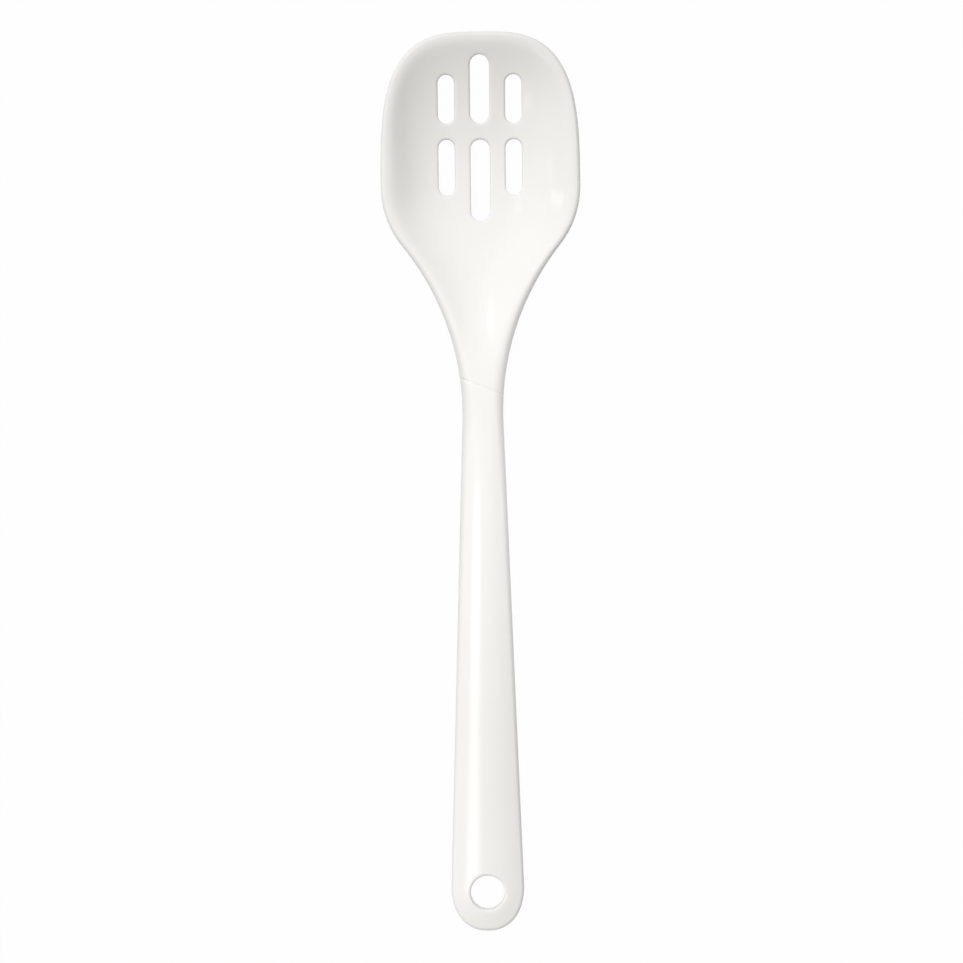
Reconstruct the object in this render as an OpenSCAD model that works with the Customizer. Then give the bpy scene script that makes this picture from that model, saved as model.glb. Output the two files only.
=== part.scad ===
// Slotted serving spoon in white melamine: a shallow slotted head with a tang,
// bonded into the socket of a tapering, crowned handle with a hanging hole.
// Units are millimetres. X is across, Y runs from the handle's end to the tip of
// the bowl, Z is up. The spoon lies on Z = 0 on its bowl and on its handle's end.
// Along the spoon, s is the distance from the tip of the bowl.

/* [Overall] */
// Length from the tip of the bowl to the end of the handle
spoon_length = 300; // [270:1:330]

/* [Bowl] */
// Width across the widest place of the bowl
bowl_width = 66.4; // [58:0.1:75]
// Distance from the tip to the widest place
bowl_wide_at = 51.4; // [45:0.1:58]
// Squareness of the tip in plan, where 2 is an ellipse
tip_squareness = 3.18; // [2.4:0.02:4]
// Radius of the shoulder between the widest place and the neck
shoulder_radius = 31.8; // [26:0.1:38]
// Drop from the rim to the middle of the floor
bowl_depth = 9; // [7:0.1:11]
// Distance from the tip at which the floor starts to climb to the neck
bowl_deep_at = 36; // [28:0.5:44]
// Flatness of the floor towards the sides, where 2 is a parabola
side_flatness = 3.8; // [3:0.1:6]
// Flatness of the floor towards the tip
tip_flatness = 2.6; // [2:0.1:5]
// Flatness of the hollow next to the neck
neck_flatness = 2; // [2:0.1:4]
// Length behind the widest place over which the sides' flatness turns into the neck's
root_run = 32; // [24:1:50]
// Thickness of the wall, with a fully rounded rim
bowl_wall = 3; // [2.4:0.1:3.6]
// Width of the level rim around the wall
rim_width = 2; // [1:0.1:3]
// Radius of the wall's middle surface where it bends into the rim
rim_bend = 2.2; // [2:0.1:4]

/* [Slots] */
// Distance between the middle lines of neighbouring slots
slot_pitch = 11.3; // [9.8:0.1:13]
// Width of the two slots on the middle line
mid_slot_width = 6.4; // [5:0.1:7.4]
// Width of the four slots at the sides
side_slot_width = 5.5; // [4.6:0.1:6.4]
// Distance from the tip to the middle of the bridge between the two rows
bridge_at = 32.3; // [30:0.1:35]
// Width of that bridge
bridge_width = 5.4; // [4:0.1:7]
// Length of the front slot on the middle line
front_mid_length = 22.4; // [17:0.1:23]
// Length of the front slots at the sides
front_side_length = 15.9; // [12:0.1:17.6]
// Length of the rear slot on the middle line
rear_mid_length = 27.5; // [20:0.1:32]
// Length of the rear slots at the sides
rear_side_length = 18.8; // [13:0.1:23]

/* [Handle] */
// Width of the neck at its narrowest place
neck_width = 13.7; // [12.4:0.1:16]
// Distance from the tip to the narrowest place
neck_at = 130; // [124:0.5:140]
// Thickness of the neck
neck_thickness = 8.6; // [7.6:0.1:10]
// Rise of the neck's middle plane above the rim
neck_rise = 1.5; // [0:0.1:4]
// Width of the handle where its rounded end starts
tail_width = 24.3; // [21:0.1:28]
// Thickness of the handle where its rounded end starts
tail_thickness = 7; // [6:0.1:8.5]
// Length of the rounded end
tail_round = 15.2; // [12:0.1:18]
// Squareness of the rounded end in plan
tail_squareness = 2.25; // [2:0.05:3]
// Bulge of the faces next to the neck
neck_crown = 0.9; // [0.4:0.05:1.4]
// Bulge of the faces at the rounded end
tail_crown = 2; // [1.2:0.05:2.4]
// Length over which the bulge grows, behind the joint
crown_run = 32; // [20:1:60]

/* [Hanging hole] */
// Diameter of the hole
hole_diameter = 11.4; // [9:0.1:12.6]
// Distance from the end of the handle to the middle of the hole
hole_from_end = 13; // [12:0.1:15]
// Radius of the rounded lip at both ends of the hole
hole_lip = 0.9; // [0.4:0.1:1.2]

/* [Neck joint] */
// Distance from the tip to the joint, on the middle line
joint_at = 118.4; // [114:0.1:122]
// Turn of the joint's plane in plan
joint_skew = 22; // [0:1:28]
// Length of the tang behind the joint
tang_length = 24; // [16:0.5:34]
// Width of the tang
tang_width = 7; // [5:0.1:8]
// Thickness of the tang
tang_thickness = 3.6; // [2.8:0.1:4.4]
// Gap for the bond around the tang
bond_gap = 0.12; // [0.08:0.01:0.25]
// Edge break along the outside of the joint
edge_break = 0.1; // [0.05:0.05:0.3]

/* [Hidden] */

// Steps of the surfaces: across a face, around an edge, along and around the ends
face_steps = 11;
edge_steps = 4;
root_steps = 20;
grip_steps = 22;
tip_steps = 34;
tail_steps = 22;
half_steps = face_steps + edge_steps;
loop = 4 * half_steps;

bowl_half = bowl_width / 2;
neck_half = neck_width / 2;
tail_half = tail_width / 2;
tail_at = spoon_length - tail_round;

// Shoulder and waist arcs, tangent to each other and to the handle's straight side
taper = atan((tail_half - neck_half) / (tail_at - neck_at));
waist_run = neck_at - bowl_wide_at;
waist_step = neck_half - bowl_half + shoulder_radius;
waist_radius = (waist_run * waist_run + waist_step * waist_step - shoulder_radius * shoulder_radius)
    / (2 * (shoulder_radius + waist_run * sin(taper) - waist_step * cos(taper)));
shoulder_centre = [bowl_wide_at, bowl_half - shoulder_radius];
waist_centre = [neck_at - waist_radius * sin(taper), neck_half + waist_radius * cos(taper)];
arcs_meet = shoulder_centre
    + (waist_centre - shoulder_centre) * shoulder_radius / (shoulder_radius + waist_radius);

joint_slope = tan(joint_skew);
skew_fade = 32;
break_length = 0.2;

function mix(a, b, t) = a + (b - a) * t;

function smooth(t) =
    let (c = min(max(t, 0), 1))
    c * c * (3 - 2 * c);

// Half of the width in plan at s
function half_width(s) =
    s < bowl_wide_at ? bowl_half * pow(1 - pow(1 - s / bowl_wide_at, tip_squareness), 1 / tip_squareness)
    : s < arcs_meet[0] ? shoulder_centre[1] + sqrt(pow(shoulder_radius, 2) - pow(s - bowl_wide_at, 2))
    : s < neck_at ? waist_centre[1] - sqrt(pow(waist_radius, 2) - pow(s - waist_centre[0], 2))
    : neck_half + (s - neck_at) * tan(taper);

// Wall or handle thickness at s
function thickness(s) =
    s < neck_at ? mix(bowl_wall, neck_thickness, smooth((s - bowl_wide_at) / (neck_at - bowl_wide_at)))
    : mix(neck_thickness, tail_thickness, min((s - neck_at) / (tail_at - neck_at), 1));

// Drop of the floor below the rim at s
function dish(s) = bowl_depth * (1 - smooth((s - bowl_deep_at) / (joint_at - bowl_deep_at)));

// Flatness of the floor along a rung that starts at s and runs out along way
function flatness(s, way) =
    s > bowl_wide_at ? mix(side_flatness, neck_flatness, smooth((s - bowl_wide_at) / root_run))
    : mix(side_flatness, tip_flatness, pow(way[1], 2));

// Power that bends the wall into the level rim, at the radius given for it
function rim_power(s, floor_power, wall_top) =
    max(floor_power + 2, min(40, pow(wall_top, 2) / (max(dish(s), 0.01) * floor_power * rim_bend)));

// Bulge of the upper and lower faces at s
function crown(s) =
    smooth((s - joint_at) / crown_run)
    * mix(neck_crown, tail_crown, min(max((s - neck_at) / (tail_at - neck_at), 0), 1));

// Turn of the rungs near the joint, so that one of them lies in its plane
function skew(s) = joint_slope * max(0, 1 - abs(s - joint_at) / skew_fade);

// Height of the middle surface's edge above the rim at s
function edge_height(s, tail_drop) =
    s < neck_at ? neck_rise * smooth((s - bowl_wide_at) / (neck_at - bowl_wide_at))
    : neck_rise - (neck_rise + tail_drop) * smooth((s - neck_at) / (tail_at - neck_at));

// One rung from the middle line out to a place on the outline: the points of the
// upper face, then those of the lower face, both from the middle line to the edge
function rung(s, edge, tail_drop, trim) =
    let (
        out = edge - [0, s],
        reach = norm(out),
        way = out / reach,
        half = thickness(s) / 2 - trim,
        bulge = crown(s),
        start = atan(2 * bulge / reach),
        radius = (half - bulge) / cos(start),
        far = reach - trim,
        flat = far - radius * (1 - sin(start)),
        wall_top = far - rim_width,
        a = flatness(s, way),
        b = rim_power(s, a, wall_top),
        places = [
            for (j = [0 : half_steps])
                j <= face_steps
                ? let (r = flat * pow(j / face_steps, 0.55))
                    [r, half - bulge * pow(r / flat, 2)]
                : let (turn = mix(start, 90, (j - face_steps) / edge_steps))
                    [flat + radius * (sin(turn) - sin(start)), radius * cos(turn)]
        ]
    )
    [
        for (side = [1, -1])
            [
                for (place = places)
                    let (
                        part = min(place[0] / wall_top, 1),
                        sunk = 1 - (b * pow(part, a) - a * pow(part, b)) / (b - a),
                        x = way[0] * place[0],
                        y = s + way[1] * place[0],
                        z = edge_height(y, tail_drop) - dish(y) * sunk,
                        slope = dish(s) * a * b * (pow(part, a - 1) - pow(part, b - 1)) / ((b - a) * wall_top),
                        lift = side * place[1] / sqrt(1 + slope * slope)
                    )
                    [x - lift * slope * way[0], y - lift * slope * way[1], z + lift]
            ]
    ];

// Place on the outline at the end of the rung at s, on one side
function side_edge(s, side) =
    let (
        guess = half_width(s + side * skew(s) * half_width(s)),
        x = half_width(s + side * skew(s) * guess)
    )
    [side * x, s + side * skew(s) * x];

// Closed section at s: left edge, upper face, right edge, lower face
function section(s, tail_drop, trim) =
    let (
        right = rung(s, side_edge(s, 1), tail_drop, trim),
        left = rung(s, side_edge(s, -1), tail_drop, trim)
    )
    concat(
        [for (j = [half_steps : -1 : 1]) left[0][j]],
        [for (j = [0 : half_steps]) right[0][j]],
        [for (j = [half_steps - 1 : -1 : 0]) right[1][j]],
        [for (j = [1 : half_steps - 1]) left[1][j]]
    );

// Points of one rung of a rounded end: upper face to the edge, then the lower face back
function end_points(s, edge, tail_drop) =
    let (r = rung(s, edge, tail_drop, 0))
    concat(
        [for (j = [1 : half_steps]) r[0][j]],
        [for (j = [half_steps - 1 : -1 : 1]) r[1][j]]
    );

// Place on the outline of the tip, at an angle from the middle line
function tip_edge(a) =
    let (r = 1 / pow(pow(abs(sin(a)), tip_squareness) + pow(abs(cos(a)), tip_squareness), 1 / tip_squareness))
    [bowl_half * r * sin(a), bowl_wide_at * (1 - r * cos(a))];

// Place on the outline of the handle's rounded end, at an angle from the middle line
function tail_edge(a) =
    let (r = 1 / pow(pow(abs(sin(a)), tail_squareness) + pow(abs(cos(a)), tail_squareness), 1 / tail_squareness))
    [tail_half * r * sin(a), tail_at + tail_round * r * cos(a)];

// Number of a point in a rounded end: k counts along a rung, around its edge
function end_index(i, k, ends, sections) =
    let (last = 2 * half_steps)
    k == 0 ? half_steps
    : k == last ? 3 * half_steps
    : i == 0 ? half_steps + k
    : i == ends ? (k <= half_steps ? half_steps - k : 5 * half_steps - k)
    : sections * loop + (i - 1) * (last - 1) + k - 1;

// Triangles between sections, over the flat end and around the rounded end
function skin(sections, ends) =
    let (last = 2 * half_steps)
    concat(
        [
            for (i = [0 : sections - 2], q = [0 : loop - 1])
                let (
                    a = i * loop + q,
                    b = i * loop + (q + 1) % loop,
                    turn = (floor(q / half_steps) % 2) == 0
                )
                each turn
                ? [[a, b, a + loop], [b, b + loop, a + loop]]
                : [[a, b, b + loop], [a, b + loop, a + loop]]
        ],
        [[for (q = [0 : loop - 1]) (sections - 1) * loop + q]],
        [
            for (i = [0 : ends - 1], k = [0 : last - 1])
                let (
                    a = end_index(i, k, ends, sections),
                    b = end_index(i, k + 1, ends, sections),
                    c = end_index(i + 1, k + 1, ends, sections),
                    d = end_index(i + 1, k, ends, sections)
                )
                each k == 0 ? [[a, c, b]]
                : k == last - 1 ? [[a, d, b]]
                : (k < half_steps) == (2 * i < ends) ? [[a, c, b], [a, d, c]]
                : [[a, d, b], [b, d, c]]
        ]
    );

function turned(faces) = [for (f = faces) [for (q = [len(f) - 1 : -1 : 0]) f[q]]];

// Head, measured from its rim, without slots and tang
head_places = [
    for (i = [0 : root_steps]) mix(bowl_wide_at, joint_at - break_length, i / root_steps)
];
head_raw = concat(
    [for (s = head_places) each section(s, 0, 0)],
    section(joint_at, 0, edge_break),
    [
        for (i = [1 : tip_steps - 1])
            each end_points(bowl_wide_at, tip_edge(90 - 180 * i / tip_steps), 0)
    ]
);
rim_height = -min([for (p = head_raw) p[2]]);

// Handle, measured from the rim, without socket and hole
tail_drop = rim_height - tail_thickness / 2;
grip_places = [
    for (i = [0 : grip_steps]) mix(tail_at, joint_at + break_length, pow(i / grip_steps, 0.8))
];
grip_raw = concat(
    [for (s = grip_places) each section(s, tail_drop, 0)],
    section(joint_at, tail_drop, edge_break),
    [
        for (i = [1 : tail_steps - 1])
            each end_points(tail_at, tail_edge(90 - 180 * i / tail_steps), tail_drop)
    ]
);

joint_height = rim_height + edge_height(joint_at, tail_drop);
hole_s = spoon_length - hole_from_end;
through = 2 * rim_height + 2 * neck_thickness;

function placed(points) = [for (p = points) [p[0], spoon_length / 2 - p[1], p[2] + rim_height]];

// Bar with round sides that runs along Y, from s_from to s_to
module tang_bar(s_from, s_to, grow) {
    flat_width = tang_width - tang_thickness;
    radius = tang_thickness / 2 + grow;
    translate([0, spoon_length / 2 - s_from, joint_height])
        rotate([90, 0, 0])
            linear_extrude(height = s_to - s_from)
                union() {
                    square([flat_width, 2 * radius], center = true);
                    for (side = [-1, 1])
                        translate([side * flat_width / 2, 0])
                            circle(r = radius, $fn = 32);
                }
}

// Upright cutter with round ends, from s_from over a length along the spoon
module slot_cutter(x, s_from, length, width) {
    middle = s_from + length / 2;
    straight = length - width;
    translate([x, spoon_length / 2 - middle, -1])
        linear_extrude(height = through)
            union() {
                square([width, straight], center = true);
                for (end = [-1, 1])
                    translate([0, end * straight / 2])
                        circle(d = width, $fn = 32);
            }
}

module slots() {
    front_end = bridge_at - bridge_width / 2;
    rear_start = bridge_at + bridge_width / 2;
    slot_cutter(0, front_end - front_mid_length, front_mid_length, mid_slot_width);
    slot_cutter(0, rear_start, rear_mid_length, mid_slot_width);
    for (side = [-1, 1]) {
        slot_cutter(side * slot_pitch, front_end - front_side_length, front_side_length, side_slot_width);
        slot_cutter(side * slot_pitch, rear_start, rear_side_length, side_slot_width);
    }
}

// Ring that rounds one end of the hanging hole, opening upwards
module lip_cutter() {
    rotate_extrude($fn = 64)
        difference() {
            square([hole_diameter / 2 + hole_lip, 2 * hole_lip + tail_thickness / 2]);
            translate([hole_diameter / 2 + hole_lip, 0])
                circle(r = hole_lip, $fn = 24);
        }
}

module hanging_hole() {
    lip_depth = tail_crown * pow(hole_diameter / tail_width, 2) / 2 + hole_lip;
    translate([0, spoon_length / 2 - hole_s, tail_thickness / 2]) {
        cylinder(d = hole_diameter, h = 2 * tail_thickness, center = true, $fn = 64);
        for (turn = [0, 180])
            rotate([turn, 0, 0])
                translate([0, 0, tail_thickness / 2 - lip_depth])
                    lip_cutter();
    }
}

module slotted_head() {
    color("WhiteSmoke")
        union() {
            difference() {
                polyhedron(points = placed(head_raw), faces = skin(root_steps + 2, tip_steps), convexity = 8);
                slots();
            }
            tang_bar(joint_at - 8, joint_at + tang_length, 0);
        }
}

module handle() {
    color("White")
        difference() {
            polyhedron(points = placed(grip_raw), faces = turned(skin(grip_steps + 2, tail_steps)), convexity = 6);
            tang_bar(joint_at - 8, joint_at + tang_length + 2 * bond_gap, bond_gap);
            hanging_hole();
        }
}

slotted_head();
handle();
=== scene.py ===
"""Slotted serving spoon in white melamine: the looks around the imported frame.

Both pieces start as flat blanks with rounded edges, slots and a hanging hole, and are then
pressed to the spoon's dished and arched form. Lengths are metres in the frame's own axes:
X across, Y from the handle's end to the tip of the bowl, Z up. Along the spoon, s is the
distance from the tip.
"""

import math
from types import SimpleNamespace
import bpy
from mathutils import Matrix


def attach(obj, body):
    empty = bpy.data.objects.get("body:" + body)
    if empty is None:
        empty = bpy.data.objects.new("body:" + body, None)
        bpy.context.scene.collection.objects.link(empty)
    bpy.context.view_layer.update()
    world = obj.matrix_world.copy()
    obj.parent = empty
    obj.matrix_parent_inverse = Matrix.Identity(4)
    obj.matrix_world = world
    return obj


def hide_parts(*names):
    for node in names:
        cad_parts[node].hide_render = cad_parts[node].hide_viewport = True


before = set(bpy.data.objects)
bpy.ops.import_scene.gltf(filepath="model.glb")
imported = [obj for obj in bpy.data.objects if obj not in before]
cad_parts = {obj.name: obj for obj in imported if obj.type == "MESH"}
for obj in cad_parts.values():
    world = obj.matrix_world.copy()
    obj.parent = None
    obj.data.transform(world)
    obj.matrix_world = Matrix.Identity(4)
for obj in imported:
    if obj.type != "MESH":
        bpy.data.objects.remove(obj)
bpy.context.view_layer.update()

import bmesh
import bpy
import numpy as np
from bpy.props import FloatProperty, FloatVectorProperty, PointerProperty
from mathutils import Matrix, Vector
from mathutils.geometry import delaunay_2d_cdt

bl_info = {
    "name": "Slotted Serving Spoon",
    "version": (1, 0, 0),
    "blender": (4, 5, 0),
    "location": "3D View > Sidebar > Spoon",
    "description": "Moulds a slotted serving spoon in white melamine and sets its stage",
    "category": "Add Mesh",
}

MM = 0.001
BODY = "root"

# Spacing of the blanks' points and of the rings around slots and hole
BLANK_STEP = 1.0 * MM
RING_STEP = 0.5 * MM
# Steps around a rounded edge, a lip and a slot's corner, and points down a slot's wall
EDGE_STEPS = 10
LIP_STEPS = 6
CORNER_STEPS = 24
WALL_POINTS = 4
# Rungs fanned around the tip and around the handle's end, those at the two sides included
TIP_RUNGS = 132
END_RUNGS = 56
# Corner radius of a slot as a share of its width, a hair under a half so that its sides stay
END_ROUNDING = 0.49999
# Distance within which the points of a ring are one
WELD = 0.01 * MM
# Filling of a face: least distance of a point from a loop, in steps, then the tolerance in mm
# and a triangle's least doubled area in mm2
POINT_CLEARANCE = 0.55
FILL_TOLERANCE = 1e-7
LEAST_AREA = 1e-4
# Edges that turn by more than this stay crisp
CRISP_ANGLE = math.radians(38)

# Depth of the mesh inside the rule's faces, which keeps it within the frame's coarser solids
SKIN = 0.03 * MM
# Length along the spoon of the edge break at the joint, and of the turn of the rungs near it,
# with the rounds that find the turned rung through a place
BREAK_LENGTH = 0.2 * MM
SKEW_FADE = 32.0 * MM
SKEW_ROUNDS = 6
# Least share and length of a rung in a fan, and the step across that gives a shorter one its way
LEAST_GROWTH = 1e-6
LEAST_SPAN = 1e-4
SIDESTEP = 0.02
# Limits of the power that bends the wall into the rim, and the least sag that it is worked out for
RIM_POWER_MOST = 40.0
RIM_POWER_ABOVE_FLOOR = 2
LEAST_SAG = 0.01 * MM
# Places along the floor at which its lowest point is looked for
FLOOR_SAMPLES = 600
# Least share of a rung, so that the slope on the middle line is defined
LEAST_PART = 0.0001
# Attributes of a blank's points that hold one number each
RUNG_NUMBERS = ("part", "reach", "spine", "flatness", "bend")

# Melamine: refractive index, sizes of its patterns, and how far its roughness varies
MELAMINE_IOR = 1.6
FLOW_SIZE = 25 * MM
POLISH_SIZE = 6 * MM
WAVE_SIZE = 4 * MM
WAVE_HEIGHT = 0.02 * MM
WAVE_STRENGTH = 0.25
POLISH_NOISE = (0.3, 0.7)
ROUGHNESS_BELOW = 0.02
ROUGHNESS_ABOVE = 0.03

# Width of the photograph in pixels, and of the camera's sensor in millimetres
IMAGE_WIDTH = 963
SENSOR_WIDTH = 36.0
# Camera's place across and along the spoon, and the height at which a pixel's width is given
CAMERA_PLACE = (-0.0007, 0.00033)
PIXEL_LEVEL = 0.0114
# Share of plain white in the floor that the camera sees; the rest is lit paper with the shadow
WHITE_SHARE = 0.985
WHITE = (1.0, 1.0, 1.0, 1.0)
# Glows of the room: azimuth and elevation in degrees, and strength; the power is their fall-off
GLOWS = ((90, 50, 1.75), (180, 50, 1.41))
GLOW_POWER = 4.0
# Lamps: name, place, target, size, radiance, spread in degrees, and whether the spoon mirrors it
LAMPS = (
    ("handle_softbox", (-0.27, -0.19, 0.8), (0.0, -0.064, 0.0), (0.27, 0.22), 4.1, 28, True),
    ("wall_strip", (-0.88, 0.37, 0.43), (0.0, 0.1, 0.0), (0.09, 0.18), 2.2, 40, True),
    ("root_strip", (-0.18, 0.43, 0.8), (0.0, 0.025, 0.01), (0.1, 0.1), 7.0, 8, True),
    ("neck_fill", (0.46, 0.0, 0.46), (0.0, 0.02, 0.0), (0.12, 0.12), 36.0, 16, False),
    ("handle_fill", (0.46, -0.08, 0.46), (0.0, -0.06, 0.0), (0.12, 0.12), 10.0, 16, False),
    ("end_fill", (0.0, -0.75, 0.3), (0.0, -0.14, 0.0), (0.12, 0.12), 24.0, 16, False),
)


def linear(hex_colour):
    """Linear RGBA of an sRGB hex colour."""
    channels = [int(hex_colour[i:i + 2], 16) / 255 for i in (1, 3, 5)]
    return [c / 12.92 if c <= 0.04045 else ((c + 0.055) / 1.055) ** 2.4 for c in channels] + [1.0]


def length(name, description, millimetres):
    """Property for a length, given in millimetres and kept in metres."""
    return FloatProperty(
        name=name, description=description, default=millimetres * MM, unit="LENGTH", precision=5)


class SpoonBowlSettings(bpy.types.PropertyGroup):
    width: length("Width", "Width across the widest place of the bowl", 66.4)
    wide_at: length("Widest At", "Distance from the tip to the widest place", 51.4)
    tip_squareness: FloatProperty(
        name="Tip Squareness", default=3.18,
        description="Squareness of the tip in plan, where 2 is an ellipse")
    shoulder_radius: length(
        "Shoulder Radius", "Radius between the widest place and the neck", 31.8)
    depth: length("Depth", "Drop from the rim to the middle of the floor", 9.0)
    deep_at: length("Deepest To", "Distance from the tip at which the floor starts to climb", 36.0)
    side_flatness: FloatProperty(
        name="Side Flatness", default=3.8,
        description="Flatness of the floor towards the sides, where 2 is a parabola")
    tip_flatness: FloatProperty(
        name="Tip Flatness", default=2.6, description="Flatness of the floor towards the tip")
    neck_flatness: FloatProperty(
        name="Neck Flatness", default=2.0, description="Flatness of the hollow next to the neck")
    root_run: length(
        "Root Run", "Length over which the sides' flatness turns into the neck's", 32.0)
    wall: length("Wall", "Thickness of the wall, with a fully rounded rim", 3.0)
    rim: length("Rim Width", "Width of the level rim around the wall", 2.0)
    rim_bend: length(
        "Rim Bend", "Radius of the wall's middle surface where it bends into the rim", 2.2)


class SpoonSlotSettings(bpy.types.PropertyGroup):
    pitch: length("Pitch", "Distance between the middle lines of neighbouring slots", 11.3)
    mid_width: length("Middle Width", "Width of the slots on the middle line", 6.4)
    side_width: length("Side Width", "Width of the slots at the sides", 5.5)
    bridge_at: length("Bridge At", "Distance from the tip to the bridge between the rows", 32.3)
    bridge_width: length("Bridge Width", "Width of the bridge between the rows", 5.4)
    front_mid: length("Front Middle", "Length of the front slot on the middle line", 22.4)
    front_side: length("Front Side", "Length of the front slots at the sides", 15.9)
    rear_mid: length("Rear Middle", "Length of the rear slot on the middle line", 27.5)
    rear_side: length("Rear Side", "Length of the rear slots at the sides", 18.8)
    lip: length("Lip", "Radius of the rounded edges of the slots", 0.8)


class SpoonHandleSettings(bpy.types.PropertyGroup):
    length: length(
        "Spoon Length", "Length from the tip of the bowl to the end of the handle", 300.0)
    neck_width: length("Neck Width", "Width of the neck at its narrowest place", 13.7)
    neck_at: length("Neck At", "Distance from the tip to the narrowest place", 130.0)
    neck_thickness: length("Neck Thickness", "Thickness of the neck", 8.6)
    neck_rise: length("Neck Rise", "Rise of the neck's middle plane above the rim", 1.5)
    tail_width: length("End Width", "Width where the rounded end starts", 24.3)
    tail_thickness: length("End Thickness", "Thickness where the rounded end starts", 7.0)
    tail_round: length("End Length", "Length of the rounded end", 15.2)
    tail_squareness: FloatProperty(
        name="End Squareness", default=2.25, description="Squareness of the rounded end in plan")
    neck_crown: length("Neck Crown", "Bulge of the faces next to the neck", 0.9)
    tail_crown: length("End Crown", "Bulge of the faces at the rounded end", 2.0)
    crown_run: length("Crown Run", "Length over which the bulge grows behind the joint", 32.0)
    hole_diameter: length("Hole Diameter", "Diameter of the hanging hole", 11.4)
    hole_from_end: length(
        "Hole From End", "Distance from the handle's end to the hole's middle", 13.0)
    hole_lip: length("Hole Lip", "Radius of the rounded lips of the hole", 0.9)
    joint_at: length(
        "Joint At", "Distance from the tip to the neck joint on the middle line", 118.4)
    joint_skew: FloatProperty(
        name="Joint Skew", default=math.radians(22), unit="ROTATION",
        description="Turn of the joint's plane in plan")
    edge_break: length("Edge Break", "Edge break along the outside of the joint", 0.1)


class SpoonFinishSettings(bpy.types.PropertyGroup):
    white: FloatVectorProperty(
        name="White", description="Colour of the melamine",
        default=linear("#F1F0ED"), size=4, subtype="COLOR")
    cream: FloatVectorProperty(
        name="Cream", description="Warmer tint of the melamine where its resin is thicker",
        default=linear("#EEECE8"), size=4, subtype="COLOR")
    roughness: FloatProperty(
        name="Roughness", description="Roughness of the polished mould face",
        default=0.15, min=0.0, max=1.0)


class SpoonStageSettings(bpy.types.PropertyGroup):
    camera_height: length("Camera Height", "Height of the camera above the floor", 1000.0)
    camera_roll: FloatProperty(
        name="Camera Roll", default=math.radians(-0.6), unit="ROTATION",
        description="Turn of the camera about its view")
    pixel_size: length("Pixel Size", "Width of one image pixel at the rim", 0.33213)
    floor_size: length("Floor Size", "Side of the square floor", 4000.0)
    room_level: FloatProperty(
        name="Room Level", description="Strength of the room's even light", default=0.07)
    paper: FloatVectorProperty(
        name="Paper", description="Colour of the floor",
        default=linear("#A8A8A8"), size=4, subtype="COLOR")


def add_node(tree, kind, links=None, out=0, **settings):
    """Adds a node with its settings, fills or links its inputs and returns one output, if any."""
    node = tree.nodes.new(kind)
    for name, value in settings.items():
        setattr(node, name, value)
    for name, value in (links or {}).items():
        if isinstance(value, bpy.types.NodeSocket):
            tree.links.new(value, node.inputs[name])
        else:
            node.inputs[name].default_value = value
    return node.outputs[out] if len(node.outputs) else None


def new_tree(name, inputs):
    """Geometry node tree with a geometry output and inputs, given as name and kind of socket."""
    tree = bpy.data.node_groups.new(name, "GeometryNodeTree")
    for label, kind in inputs:
        tree.interface.new_socket(label, in_out="INPUT", socket_type=kind)
    tree.interface.new_socket("Geometry", in_out="OUTPUT", socket_type="NodeSocketGeometry")
    return tree, tree.nodes.new("NodeGroupInput").outputs


def run_tree(tree, mesh, values):
    """Plain mesh that a tree makes from a mesh, with the values of its inputs by name."""
    holder = bpy.data.objects.new(tree.name, mesh)
    bpy.context.scene.collection.objects.link(holder)
    modifier = holder.modifiers.new(tree.name, "NODES")
    modifier.node_group = tree
    for socket in tree.interface.items_tree:
        if socket.in_out == "INPUT" and socket.name in values:
            modifier[socket.identifier] = values[socket.name]
    depsgraph = bpy.context.evaluated_depsgraph_get()
    result = bpy.data.meshes.new_from_object(holder.evaluated_get(depsgraph))
    bpy.data.objects.remove(holder)
    return result


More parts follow.
